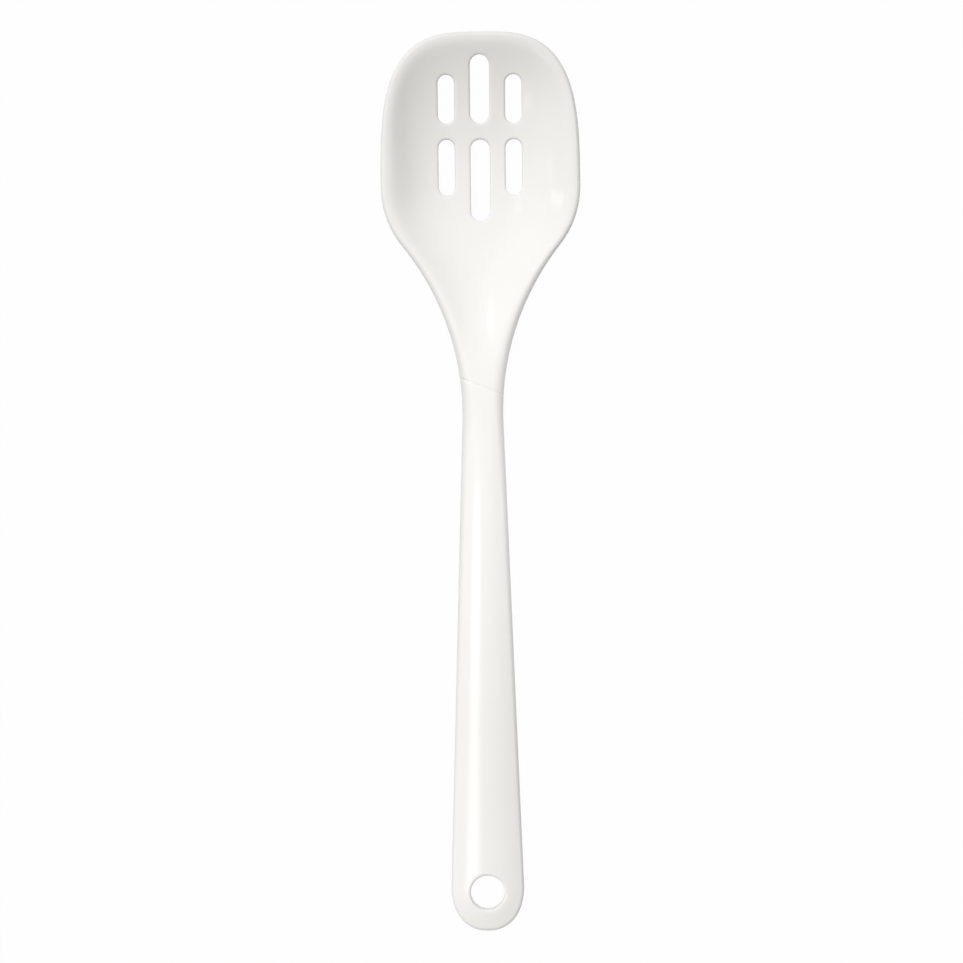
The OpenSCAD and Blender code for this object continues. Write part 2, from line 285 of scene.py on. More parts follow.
def slot_ring_tree():
    """Ring around one slot: its wall with a rounded lip at each end."""
    tree, given = new_tree("Slot Ring", [
        ("Width", "NodeSocketFloat"), ("Length", "NodeSocketFloat"),
        ("Place", "NodeSocketVector"), ("Wall", "NodeSocketFloat"), ("Lip", "NodeSocketFloat")])
    math_node = "ShaderNodeMath"
    radius = add_node(
        tree, math_node, {0: given["Width"], 1: END_ROUNDING}, operation="MULTIPLY")
    half = add_node(tree, math_node, {0: given["Wall"], 1: 0.5}, operation="MULTIPLY")
    low = add_node(tree, math_node, {0: half, 1: -1.0}, operation="MULTIPLY")
    bend = add_node(tree, math_node, {0: half, 1: given["Lip"]}, operation="SUBTRACT")
    low_bend = add_node(tree, math_node, {0: bend, 1: -1.0}, operation="MULTIPLY")
    box = add_node(tree, "GeometryNodeCurvePrimitiveQuadrilateral", {
        "Width": given["Width"], "Height": given["Length"]})
    rounded = add_node(tree, "GeometryNodeFilletCurve", {
        "Curve": box, "Count": CORNER_STEPS, "Radius": radius}, mode="POLY")
    path = add_node(tree, "GeometryNodeResampleCurve", {
        "Curve": rounded, "Length": RING_STEP}, mode="LENGTH")
    upright = add_node(tree, "GeometryNodeSetCurveNormal", {"Curve": path}, mode="Z_UP")

    # Profile of the ring: an arc for each lip and the wall between them
    profile = tree.nodes.new("GeometryNodeJoinGeometry")
    diagonal = math.sqrt(0.5)
    for end, corner, turn in ((half, bend, diagonal), (low, low_bend, -diagonal)):
        shoulder = add_node(tree, "ShaderNodeCombineXYZ", {"X": given["Lip"], "Y": end})
        foot = add_node(tree, "ShaderNodeCombineXYZ", {"Y": corner})
        chord_x = add_node(
            tree, math_node, {0: given["Lip"], 1: 1 - diagonal}, operation="MULTIPLY")
        chord_y = add_node(
            tree, math_node, {0: given["Lip"], 1: turn, 2: corner}, operation="MULTIPLY_ADD")
        middle = add_node(tree, "ShaderNodeCombineXYZ", {"X": chord_x, "Y": chord_y})
        arc = add_node(tree, "GeometryNodeCurveArc", {
            "Resolution": LIP_STEPS + 1, "Start": shoulder, "Middle": middle, "End": foot},
            mode="POINTS")
        tree.links.new(arc, profile.inputs[0])
    top = add_node(tree, "ShaderNodeCombineXYZ", {"Y": bend})
    bottom = add_node(tree, "ShaderNodeCombineXYZ", {"Y": low_bend})
    wall = add_node(tree, "GeometryNodeCurvePrimitiveLine", {"Start": top, "End": bottom})
    wall = add_node(tree, "GeometryNodeResampleCurve", {
        "Curve": wall, "Count": WALL_POINTS}, mode="COUNT")
    tree.links.new(wall, profile.inputs[0])

    swept = add_node(tree, "GeometryNodeCurveToMesh", {
        "Curve": upright, "Profile Curve": profile.outputs[0]})
    welded = add_node(tree, "GeometryNodeMergeByDistance", {"Geometry": swept, "Distance": WELD})
    placed = add_node(tree, "GeometryNodeSetPosition", {
        "Geometry": welded, "Offset": given["Place"]})
    add_node(tree, "NodeGroupOutput", {"Geometry": placed})
    return tree


def slot_pattern_tree(ring, slots):
    """All the rings of a piece; slots holds the width, length and middle of each."""
    tree, given = new_tree("Slot Pattern", [
        ("Wall", "NodeSocketFloat"), ("Lip", "NodeSocketFloat"),
        ("Material", "NodeSocketMaterial")])
    pattern = tree.nodes.new("GeometryNodeJoinGeometry")
    for width, span, middle in slots:
        one = add_node(tree, "GeometryNodeGroup", {
            "Width": width, "Length": span, "Place": middle, "Wall": given["Wall"],
            "Lip": given["Lip"]}, node_tree=ring)
        tree.links.new(one, pattern.inputs[0])
    real = add_node(tree, "GeometryNodeRealizeInstances", {"Geometry": pattern.outputs[0]})
    finished = add_node(tree, "GeometryNodeSetMaterial", {
        "Geometry": real, "Material": given["Material"]})
    add_node(tree, "NodeGroupOutput", {"Geometry": finished})
    return tree


def press_tree():
    """Presses a flat blank to the spoon's form.

    A blank's X and Y are a point's place on the middle surface and its Z is its height above
    that. Its attributes give the rung that it lies on: spine, where that starts on the middle
    line, way, its direction out to the edge, reach, its length to the rim, part, the share of
    that, and flatness and bend, the powers that shape the floor and the turn into the rim."""
    number = "NodeSocketFloat"
    names = ("Depth", "Deepest To", "Widest At", "Neck At", "Neck Rise", "End At", "End Drop",
             "Joint At", "Rim Height", "Tip At")
    tree, given = new_tree("Press Form", [
        ("Geometry", "NodeSocketGeometry"), *((name, number) for name in names),
        ("Material", "NodeSocketMaterial")])
    math_node, ramp = "ShaderNodeMath", "ShaderNodeMapRange"
    named = "GeometryNodeInputNamedAttribute"
    part, reach, spine, flatness, bend = [
        add_node(tree, named, {"Name": name}, data_type="FLOAT") for name in RUNG_NUMBERS]
    way = add_node(tree, named, {"Name": "way"}, data_type="FLOAT_VECTOR")
    place = add_node(tree, "GeometryNodeInputPosition")
    parts = tree.nodes.new("ShaderNodeSeparateXYZ")
    tree.links.new(place, parts.inputs[0])
    x, y, height = parts.outputs
    s = add_node(tree, math_node, {0: given["Tip At"], 1: y}, operation="SUBTRACT")

    # Sag of the floor below the rim, full on the middle line and nothing at the edge
    dish = add_node(tree, ramp, {
        "Value": s, "From Min": given["Deepest To"], "From Max": given["Joint At"],
        "To Min": given["Depth"], "To Max": 0.0}, interpolation_type="SMOOTHSTEP")
    floor_up = add_node(tree, math_node, {0: part, 1: flatness}, operation="POWER")
    rim_up = add_node(tree, math_node, {0: part, 1: bend}, operation="POWER")
    span = add_node(tree, math_node, {0: bend, 1: flatness}, operation="SUBTRACT")
    floor_term = add_node(tree, math_node, {0: bend, 1: floor_up}, operation="MULTIPLY")
    rim_term = add_node(tree, math_node, {0: flatness, 1: rim_up}, operation="MULTIPLY")
    terms = add_node(tree, math_node, {0: floor_term, 1: rim_term}, operation="SUBTRACT")
    raised = add_node(tree, math_node, {0: terms, 1: span}, operation="DIVIDE")
    sunk = add_node(tree, math_node, {0: 1.0, 1: raised}, operation="SUBTRACT")
    sag = add_node(tree, math_node, {0: dish, 1: sunk}, operation="MULTIPLY")

    # Height of the edge: up to the neck, then down to the handle's end
    rise = add_node(tree, ramp, {
        "Value": s, "From Min": given["Widest At"], "From Max": given["Neck At"],
        "To Min": given["Rim Height"], "To Max": given["Neck Rise"]},
        interpolation_type="SMOOTHSTEP")
    fall = add_node(tree, ramp, {
        "Value": s, "From Min": given["Neck At"], "From Max": given["End At"],
        "To Min": 0.0, "To Max": given["End Drop"]}, interpolation_type="SMOOTHSTEP")
    edge = add_node(tree, math_node, {0: rise, 1: fall}, operation="SUBTRACT")
    middle = add_node(tree, math_node, {0: edge, 1: sag}, operation="SUBTRACT")

    # Slope along the rung, and the point's height laid off square to it
    rung_dish = add_node(tree, ramp, {
        "Value": spine, "From Min": given["Deepest To"], "From Max": given["Joint At"],
        "To Min": given["Depth"], "To Max": 0.0}, interpolation_type="SMOOTHSTEP")
    rise_here = add_node(tree, math_node, {0: floor_up, 1: rim_up}, operation="SUBTRACT")
    clear = add_node(tree, math_node, {0: part, 1: LEAST_PART}, operation="MAXIMUM")
    along = add_node(tree, math_node, {0: clear, 1: reach}, operation="MULTIPLY")
    grade = add_node(tree, math_node, {0: rise_here, 1: along}, operation="DIVIDE")
    product = add_node(tree, math_node, {0: bend, 1: flatness}, operation="MULTIPLY")
    factor = add_node(tree, math_node, {0: product, 1: span}, operation="DIVIDE")
    scale = add_node(tree, math_node, {0: factor, 1: rung_dish}, operation="MULTIPLY")
    slope = add_node(tree, math_node, {0: grade, 1: scale}, operation="MULTIPLY")
    squared = add_node(tree, math_node, {0: slope, 1: slope, 2: 1.0}, operation="MULTIPLY_ADD")
    lean = add_node(tree, math_node, {0: squared}, operation="INVERSE_SQRT")
    lift = add_node(tree, math_node, {0: height, 1: lean}, operation="MULTIPLY")
    shift = add_node(tree, math_node, {0: lift, 1: slope}, operation="MULTIPLY")
    back = add_node(tree, "ShaderNodeVectorMath", {0: way, "Scale": shift}, operation="SCALE")
    level = add_node(tree, math_node, {0: middle, 1: lift}, operation="ADD")
    upright = add_node(tree, "ShaderNodeCombineXYZ", {"X": x, "Y": y, "Z": level})
    target = add_node(tree, "ShaderNodeVectorMath", {0: upright, 1: back}, operation="SUBTRACT")

    pressed = add_node(tree, "GeometryNodeSetPosition", {
        "Geometry": given["Geometry"], "Position": target})
    real = add_node(tree, "GeometryNodeRealizeInstances", {"Geometry": pressed})
    finished = add_node(tree, "GeometryNodeSetMaterial", {
        "Geometry": real, "Material": given["Material"]})
    add_node(tree, "NodeGroupOutput", {"Geometry": finished})
    return tree


def smooth(t):
    """Smooth step from 0 to 1."""
    t = np.clip(t, 0.0, 1.0)
    return t * t * (3.0 - 2.0 * t)


class SpoonForm:
    """Outline, thickness and rungs of the spoon's blanks. A place is an x and an s."""

    def __init__(self, bowl, handle):
        self.bowl, self.handle = bowl, handle
        self.bowl_half, self.neck_half = bowl.width / 2, handle.neck_width / 2
        self.tail_half, self.tail_at = handle.tail_width / 2, handle.length - handle.tail_round
        self.tip_at = handle.length / 2
        # Shoulder and waist arcs, tangent to each other and to the handle's straight side
        taper = math.atan((self.tail_half - self.neck_half) / (self.tail_at - handle.neck_at))
        run = handle.neck_at - bowl.wide_at
        step = self.neck_half - self.bowl_half + bowl.shoulder_radius
        self.waist_radius = (run ** 2 + step ** 2 - bowl.shoulder_radius ** 2) / (
            2 * (bowl.shoulder_radius + run * math.sin(taper) - step * math.cos(taper)))
        self.shoulder = np.array([bowl.wide_at, self.bowl_half - bowl.shoulder_radius])
        self.waist = np.array([handle.neck_at - self.waist_radius * math.sin(taper),
                               self.neck_half + self.waist_radius * math.cos(taper)])
        share = bowl.shoulder_radius / (bowl.shoulder_radius + self.waist_radius)
        self.arcs_meet = (self.shoulder + (self.waist - self.shoulder) * share)[0]
        self.taper = math.tan(taper)
        # Height of the rim, from the lowest place on the middle line
        s = np.linspace(0.0, handle.joint_at, FLOOR_SAMPLES)
        wall_top = bowl.wide_at - bowl.rim
        part = np.clip((bowl.wide_at - s) / wall_top, 0.0, 1.0)
        flatness = bowl.tip_flatness
        bend = self.rim_power(bowl.wide_at, flatness, wall_top)
        raised = (bend * part ** flatness - flatness * part ** bend) / (bend - flatness)
        sag = self.dish(s) * (1 - raised)
        self.rim_height = float(sag.max()) + bowl.wall / 2

    def half_width(self, s):
        """Half of the width of the neck and the handle, and of the shoulder."""
        from_shoulder, from_waist = s - self.shoulder[0], s - self.waist[0]
        shoulder = self.shoulder[1] + np.sqrt(
            np.maximum(self.bowl.shoulder_radius ** 2 - from_shoulder ** 2, 0.0))
        waist = self.waist[1] - np.sqrt(
            np.maximum(self.waist_radius ** 2 - from_waist ** 2, 0.0))
        side = self.neck_half + (s - self.handle.neck_at) * self.taper
        behind = np.where(s < self.handle.neck_at, waist, side)
        return np.where(s < self.arcs_meet, shoulder, behind)

    def thickness(self, s):
        """Thickness of wall or handle."""
        neck, bowl = self.handle, self.bowl
        growth = smooth((s - bowl.wide_at) / (neck.neck_at - bowl.wide_at))
        head = bowl.wall + (neck.neck_thickness - bowl.wall) * growth
        share = np.clip((s - neck.neck_at) / (self.tail_at - neck.neck_at), 0.0, 1.0)
        grip = neck.neck_thickness + (neck.tail_thickness - neck.neck_thickness) * share
        return np.where(s < neck.neck_at, head, grip) - 2 * SKIN

    def crown(self, s):
        """Bulge of the faces."""
        grip = self.handle
        share = np.clip((s - grip.neck_at) / (self.tail_at - grip.neck_at), 0.0, 1.0)
        return smooth((s - grip.joint_at) / grip.crown_run) * (
            grip.neck_crown + (grip.tail_crown - grip.neck_crown) * share)

    def dish(self, s):
        """Drop of the floor below the rim."""
        bowl = self.bowl
        climb = smooth((s - bowl.deep_at) / (self.handle.joint_at - bowl.deep_at))
        return bowl.depth * (1 - climb)

    def flatness(self, rungs):
        """Power that shapes the floor along rungs: high across, low towards tip and neck."""
        bowl = self.bowl
        share = smooth((rungs.s - bowl.wide_at) / bowl.root_run)
        root = bowl.side_flatness + (bowl.neck_flatness - bowl.side_flatness) * share
        ahead = rungs.way[:, 1] ** 2
        front = bowl.side_flatness + (bowl.tip_flatness - bowl.side_flatness) * ahead
        return np.where(rungs.s > bowl.wide_at, root, front)

    def rim_power(self, s, floor_power, wall_top):
        """Power that bends the wall into the level rim, at the radius given for it."""
        sag = np.maximum(self.dish(s), LEAST_SAG)
        power = wall_top ** 2 / (sag * floor_power * self.bowl.rim_bend)
        return np.maximum(
            floor_power + RIM_POWER_ABOVE_FLOOR, np.minimum(RIM_POWER_MOST, power))

    def skew(self, s):
        """Turn of the rungs near the joint, so that one of them lies in its plane."""
        fade = np.maximum(0.0, 1 - np.abs(s - self.handle.joint_at) / SKEW_FADE)
        return math.tan(self.handle.joint_skew) * fade

    def side_edge(self, s, side):
        """Place on the outline at the end of the rung at s; side is 1 or -1."""
        turn = side * self.skew(s)
        x = self.half_width(s + turn * self.half_width(s))
        x = self.half_width(s + turn * x)
        return np.stack([side * x, s + turn * x], axis=-1)

    def round_edge(self, angle, tip):
        """Place on the outline of the tip, or of the handle's end, by angle from the middle."""
        power = self.bowl.tip_squareness if tip else self.handle.tail_squareness
        sine, cosine = np.sin(angle), np.cos(angle)
        r = (np.abs(sine) ** power + np.abs(cosine) ** power) ** (-1 / power)
        if tip:
            across, s = self.bowl_half, self.bowl.wide_at * (1 - r * cosine)
        else:
            across, s = self.tail_half, self.tail_at + self.handle.tail_round * r * cosine
        return np.stack([across * r * sine, s], axis=-1)

    def rungs(self, s, edge, trim=0.0):
        """Rungs from the middle line at s to places on the outline, with their rounded ends."""
        out = edge - np.stack([np.zeros_like(s), s], axis=-1)
        span = np.linalg.norm(out, axis=-1)
        half, bulge = self.thickness(s) / 2 - trim, self.crown(s)
        start = np.arctan(2 * bulge / span)
        radius = (half - bulge) / np.cos(start)
        reach = span - trim
        flat = reach - radius * (1 - np.sin(start))
        return SimpleNamespace(s=s, way=out / span[..., None], half=half, bulge=bulge, start=start,
                               radius=radius, reach=reach, flat=flat)

    def locate(self, places):
        """Rungs through places, and the distance of each place along its rung."""
        x, s = places[:, 0], places[:, 1]
        bowl, grip = self.bowl, self.handle
        spine = s.copy()
        for _ in range(SKEW_ROUNDS):
            spine = s - self.skew(spine) * x
        edge = self.side_edge(spine, np.where(x < 0, -1.0, 1.0))
        for centre, run, half, power in (
                (bowl.wide_at, -bowl.wide_at, self.bowl_half, bowl.tip_squareness),
                (self.tail_at, grip.tail_round, self.tail_half, grip.tail_squareness)):
            ahead = (s - centre) / run
            end = ahead > 0
            grow = ((np.abs(x) / half) ** power + np.maximum(ahead, 0.0) ** power) ** (1 / power)
            grow = np.maximum(grow, LEAST_GROWTH)[:, None]
            middle = np.array([0.0, centre])
            edge = np.where(end[:, None], middle + (places - middle) / grow, edge)
            spine = np.where(end, centre, spine)
        # A place on the middle of a fan has no direction of its own and takes the one across
        starts = np.stack([np.zeros_like(spine), spine], axis=-1)
        edge[np.linalg.norm(edge - starts, axis=-1) < LEAST_SPAN] += np.array([SIDESTEP, 0.0])
        return self.rungs(spine, edge), np.hypot(x, s - spine)

    def half_thickness(self, places):
        """Half of the thickness at places away from the rounded edge."""
        rungs, along = self.locate(places)
        return rungs.half - rungs.bulge * np.minimum(along / rungs.flat, 1.0) ** 2


def piece_rungs(form, start, inwards, fan_count, tip):
    """Rungs around a piece, from the joint's right end around its far end to its left end.

    The straight sides begin at start, and inwards is the sign of the joint's direction in s."""
    joint = form.handle.joint_at
    count = round(abs(joint - start) / BLANK_STEP)
    side_s = np.append(np.linspace(start, joint - inwards * BREAK_LENGTH, count), joint)
    angles = np.radians(np.linspace(90, -90, fan_count))[1:-1]
    right, left = form.side_edge(side_s, 1), form.side_edge(side_s, -1)
    s = np.concatenate([side_s[::-1], np.full(len(angles), start), side_s])
    return s, np.concatenate([right[::-1], form.round_edge(angles, tip), left])


def inside(points, loop):
    """Whether points lie inside a closed loop, by counting crossings."""
    count = np.zeros(len(points), int)
    for a, b in zip(loop, np.roll(loop, -1, axis=0)):
        crosses = (a[1] > points[:, 1]) != (b[1] > points[:, 1])
        if crosses.any():
            at = a[0] + (points[:, 1] - a[1]) * (b[0] - a[0]) / (b[1] - a[1])
            count += crosses & (points[:, 0] < at)
    return count % 2 == 1


def open_loops(bm, side):
    """Open edges of the rings on one face of the blank, as loops of vertices in order."""
    ways = {}
    for edge in bm.edges:
        if edge.is_boundary and edge.verts[0].co.z * side > 0:
            for vert, other in (edge.verts, reversed(edge.verts)):
                ways.setdefault(vert, []).append(other)
    loops = []
    while ways:
        loop = [next(iter(ways))]
        while True:
            onward = [v for v in ways.pop(loop[-1]) if v in ways]
            if not onward:
                break
            loop.append(onward[0])
        loops.append(loop)
    return loops


def fill_face(bm, form, outer, loops, crease, side):
    """Fills one face of a blank between its outer loop, its rings and a crease near the joint."""
    verts, chains = list(outer), [(list(range(len(outer))), True)]
    for loop in loops:
        chains.append((list(range(len(verts), len(verts) + len(loop))), True))
        verts += loop
    first, last = verts.index(crease[0]), verts.index(crease[-1])
    start = len(verts)
    verts += crease[1:-1]
    chains.append(([first] + list(range(start, len(verts))) + [last], False))
    flat = np.array([v.co.xy for v in verts])
    border = flat[:len(outer)]
    holes = [np.array([v.co.xy for v in loop]) for loop in loops]

    # Even points inside, clear of the loops
    low, high = border.min(axis=0), border.max(axis=0)
    rows = np.arange(low[1], high[1], BLANK_STEP * math.sqrt(0.75))
    columns = np.arange(low[0] - BLANK_STEP, high[0] + BLANK_STEP, BLANK_STEP)
    grid = np.array([
        (x + (i % 2) * BLANK_STEP / 2, y) for i, y in enumerate(rows) for x in columns])
    keep = inside(grid, border)
    for hole in holes:
        keep &= ~inside(grid, hole)
    grid = grid[keep]
    gaps = np.array([np.hypot(*(flat - point).T).min() for point in grid])
    grid = grid[gaps > POINT_CLEARANCE * BLANK_STEP]
    places = np.stack([grid[:, 0], form.tip_at - grid[:, 1]], axis=-1)
    heights = side * form.half_thickness(places)
    verts += [bm.verts.new((x, y, z)) for (x, y), z in zip(grid, heights)]

    edges = []
    for chain, closed in chains:
        edges += list(zip(chain, chain[1:] + chain[:1] if closed else chain[1:]))
    scaled = [Vector((v.co.x / MM, v.co.y / MM)) for v in verts]
    points, _, faces, sources, _, _ = delaunay_2d_cdt(scaled, edges, [], 0, FILL_TOLERANCE)
    corners = np.array([[points[i] for i in face] for face in faces])
    middles = corners.mean(axis=1) * MM
    arms = corners[:, 1:] - corners[:, :1]
    areas = np.abs(arms[:, 0, 0] * arms[:, 1, 1] - arms[:, 0, 1] * arms[:, 1, 0])
    keep = (areas > LEAST_AREA) & inside(middles, border)
    for hole in holes:
        keep &= ~inside(middles, hole)
    for face, kept in zip(faces, keep):
        if kept:
            bm.faces.new([verts[sources[i][0]] for i in face])


def round_edge_faces(bm, form, s, edge):
    """Rounded edge of a blank, rung by rung, as columns of vertices from top to bottom.

    The first and the last rung are broken back at the joint."""
    trim = np.zeros(len(s))
    trim[[0, -1]] = form.handle.edge_break
    rungs = form.rungs(s, edge, trim)
    rim = []
    for i, start in enumerate(rungs.start):
        column = []
        for k in range(-EDGE_STEPS, EDGE_STEPS + 1):
            angle = start + (math.pi / 2 - start) * (1 - abs(k) / EDGE_STEPS)
            along = rungs.flat[i] + rungs.radius[i] * (math.sin(angle) - math.sin(start))
            x, y = rungs.way[i] * along
            height = math.copysign(rungs.radius[i] * math.cos(angle), -k) if k else 0.0
            column.append(bm.verts.new((x, form.tip_at - s[i] - y, height)))
        rim.append(column)
    for here, there in zip(rim, rim[1:]):
        for k in range(2 * EDGE_STEPS):
            bm.faces.new((here[k], here[k + 1], there[k + 1], there[k]))
    return rim


def keep_rungs(mesh, form):
    """Stores the rung of each of a blank's points as attributes for the press."""
    places = np.array([(v.co.x, form.tip_at - v.co.y) for v in mesh.vertices])
    rungs, along = form.locate(places)
    wall_top = rungs.reach - form.bowl.rim
    flatness = form.flatness(rungs)
    numbers = (np.minimum(along / wall_top, 1.0), wall_top, rungs.s, flatness,
               form.rim_power(rungs.s, flatness, wall_top))
    for label, values in zip(RUNG_NUMBERS, numbers):
        attribute = mesh.attributes.new(label, "FLOAT", "POINT")
        attribute.data.foreach_set("value", np.ascontiguousarray(values, dtype=np.float32))
    way = np.stack([rungs.way[:, 0], -rungs.way[:, 1], np.zeros(len(along))], axis=-1)
    attribute = mesh.attributes.new("way", "FLOAT_VECTOR", "POINT")
    attribute.data.foreach_set("vector", way.astype(np.float32).ravel())


def make_blank(name, form, s, edge, ring_mesh, ring_wall):
    """Flat blank of a piece: rounded edge, rings of slots or hole, faces and the joint's end."""
    bm = bmesh.new()
    bm.from_mesh(ring_mesh)
    places = np.array([(v.co.x, form.tip_at - v.co.y) for v in bm.verts])
    for vert, half in zip(bm.verts, form.half_thickness(places)):
        vert.co.z += math.copysign(1.0, vert.co.z) * (half - ring_wall / 2)
    rings = {side: open_loops(bm, side) for side in (1, -1)}
    rim = round_edge_faces(bm, form, s, edge)

    ends = []
    for side, column in ((1, 0), (-1, -1)):
        lines = []
        for i in (0, 1):
            first, last = rim[i][column], rim[-1 - i][column]
            a, b = first.co, last.co
            steps = max(2, round((a - b).length / BLANK_STEP))
            between = [bm.verts.new(a.lerp(b, j / steps)) for j in range(1, steps)]
            lines.append([first, *between, last])
        outer = [row[column] for row in rim] + lines[0][-2:0:-1]
        fill_face(bm, form, outer, rings[side], lines[1], side)
        ends.append(lines[0])
    bm.faces.new(ends[0] + rim[-1][1:-1] + ends[1][::-1] + rim[0][-2:0:-1])
    bmesh.ops.recalc_face_normals(bm, faces=bm.faces)
    mesh = bpy.data.meshes.new(name)
    bm.to_mesh(mesh)
    bm.free()
    keep_rungs(mesh, form)
    return mesh


def press(name, form, blank, material):
    """Finished piece from a blank, standing for a node of the frame."""
    bowl, grip = form.bowl, form.handle
    neck_height = form.rim_height + grip.neck_rise
    mesh = run_tree(press_tree(), blank, {
        "Depth": bowl.depth, "Deepest To": bowl.deep_at, "Widest At": bowl.wide_at,
        "Neck At": grip.neck_at, "Neck Rise": neck_height, "End At": form.tail_at,
        "End Drop": neck_height - grip.tail_thickness / 2, "Joint At": grip.joint_at,
        "Rim Height": form.rim_height, "Tip At": form.tip_at, "Material": material})
    mesh.name = name
    for label in (*RUNG_NUMBERS, "way"):
        mesh.attributes.remove(mesh.attributes[label])
    mesh.shade_smooth()
    mesh.set_sharp_from_angle(angle=CRISP_ANGLE)
    piece = bpy.data.objects.new(name, mesh)
    bpy.context.scene.collection.objects.link(piece)
    return piece


def moulded_melamine(finish):
    """Melamine pressed in a polished steel mould: opaque warm white, glossy, faintly wavy."""
    material = bpy.data.materials.get("moulded_melamine")
    if material:
        return material
    material = bpy.data.materials.new("moulded_melamine")
    material.use_nodes = True
    tree = material.node_tree
    tree.nodes.clear()
    place = add_node(tree, "ShaderNodeTexCoord", out="Object")
    # Resin flow: the tint drifts slowly over the piece
    flow = add_node(tree, "ShaderNodeTexNoise", {
        "Vector": place, "Scale": 1 / FLOW_SIZE, "Detail": 2.0})
    colour = add_node(tree, "ShaderNodeMix", {
        "Factor": flow, 6: list(finish.white), 7: list(finish.cream)}, out=2, data_type="RGBA")
    # Mould polish: the gloss varies in small patches
    polish = add_node(tree, "ShaderNodeTexNoise", {
        "Vector": place, "Scale": 1 / POLISH_SIZE, "Detail": 4.0})
    rough = add_node(tree, "ShaderNodeMapRange", {
        "Value": polish, "From Min": POLISH_NOISE[0], "From Max": POLISH_NOISE[1],
        "To Min": finish.roughness - ROUGHNESS_BELOW, "To Max": finish.roughness + ROUGHNESS_ABOVE})
    # Waviness of the pressed face, a few micrometres high
    wave = add_node(tree, "ShaderNodeTexNoise", {
        "Vector": place, "Scale": 1 / WAVE_SIZE, "Detail": 1.0})
    bump = add_node(tree, "ShaderNodeBump", {
        "Height": wave, "Strength": WAVE_STRENGTH, "Distance": WAVE_HEIGHT})
    shader = add_node(tree, "ShaderNodeBsdfPrincipled", {
        "Base Color": colour, "Roughness": rough, "Normal": bump, "IOR": MELAMINE_IOR})
    add_node(tree, "ShaderNodeOutputMaterial", {"Surface": shader})
    return material


def shown_white(tree):
    """Socket that is 1 for rays that show the background: straight, mirrored or through glass."""
    light_path = tree.nodes.new("ShaderNodeLightPath").outputs
    shown = add_node(tree, "ShaderNodeMath", {
        0: light_path["Is Camera Ray"], 1: light_path["Is Glossy Ray"]}, operation="MAXIMUM")
    return add_node(tree, "ShaderNodeMath", {
        0: shown, 1: light_path["Is Transmission Ray"]}, operation="MAXIMUM")


def white_paper(stage):
    """Matt paper that the camera sees as white, with the spoon's faint shadow."""
    material = bpy.data.materials.new("white_paper")
    material.use_nodes = True
    tree = material.node_tree
    tree.nodes.clear()
    paper = add_node(tree, "ShaderNodeBsdfDiffuse", {"Color": list(stage.paper)})
    white = add_node(tree, "ShaderNodeEmission", {"Color": WHITE, "Strength": 1.0})
    share = add_node(tree, "ShaderNodeMath", {
        0: shown_white(tree), 1: WHITE_SHARE}, operation="MULTIPLY")
    mixed = add_node(tree, "ShaderNodeMixShader", {"Fac": share, 1: paper, 2: white})
    add_node(tree, "ShaderNodeOutputMaterial", {"Surface": mixed})
    return material


def lay_floor(scene, stage):
    """Square sheet of paper under the spoon."""
    half = stage.floor_size / 2
    corners = [(-half, -half, 0), (half, -half, 0), (half, half, 0), (-half, half, 0)]
    mesh = bpy.data.meshes.new("floor")
    mesh.from_pydata(corners, [], [(0, 1, 2, 3)])
    mesh.materials.append(white_paper(stage))
    floor = bpy.data.objects.new("floor", mesh)
    scene.collection.objects.link(floor)


def light_room(scene, stage):
    """White studio that shows as plain white and lights the spoon by an even level and glows."""
    world = bpy.data.worlds.new("studio")
    world.use_nodes = True
    tree = world.node_tree
    tree.nodes.clear()
    way = add_node(tree, "ShaderNodeTexCoord", out="Generated")
    level = stage.room_level
    for azimuth, elevation, strength in GLOWS:
        turn, tilt = math.radians(azimuth), math.radians(elevation)
        middle = (math.cos(turn) * math.cos(tilt), math.sin(turn) * math.cos(tilt), math.sin(tilt))
        facing = add_node(tree, "ShaderNodeVectorMath", {
            0: way, 1: middle}, out="Value", operation="DOT_PRODUCT")
        facing = add_node(tree, "ShaderNodeMath", {0: facing, 1: 0.0}, operation="MAXIMUM")
        glow = add_node(tree, "ShaderNodeMath", {0: facing, 1: GLOW_POWER}, operation="POWER")
        level = add_node(tree, "ShaderNodeMath", {
            0: glow, 1: strength, 2: level}, operation="MULTIPLY_ADD")
    room = add_node(tree, "ShaderNodeBackground", {"Color": WHITE, "Strength": level})
    white = add_node(tree, "ShaderNodeBackground", {"Color": WHITE, "Strength": 1.0})
    sky = add_node(tree, "ShaderNodeMixShader", {"Fac": shown_white(tree), 1: room, 2: white})
    add_node(tree, "ShaderNodeOutputWorld", {"Surface": sky})
    scene.world = world


def area_lamp(name, place, target, size, radiance, spread, mirrored):
    """Rectangular softbox, its second side along Y, of a radiance where 1 would show as white.

    A spread below 180 degrees is that of a grid in front of it, and the radiance is then that on
    its axis. A lamp that isn't mirrored lights the spoon without a highlight."""
    data = bpy.data.lights.new(name, "AREA")
    data.shape = "RECTANGLE"
    data.size, data.size_y = size
    data.spread = math.radians(spread)
    half = data.spread / 2
    data.energy = radiance * math.pi * size[0] * size[1] * (1 - half / math.tan(half))
    lamp = bpy.data.objects.new(name, data)
    lamp.location = place
    lamp.visible_glossy = mirrored
    back = (Vector(place) - Vector(target)).normalized()
    side = Vector((0.0, 1.0, 0.0)).cross(back).normalized()
    lamp.rotation_euler = Matrix((side, back.cross(side), back)).transposed().to_euler()
    bpy.context.scene.collection.objects.link(lamp)


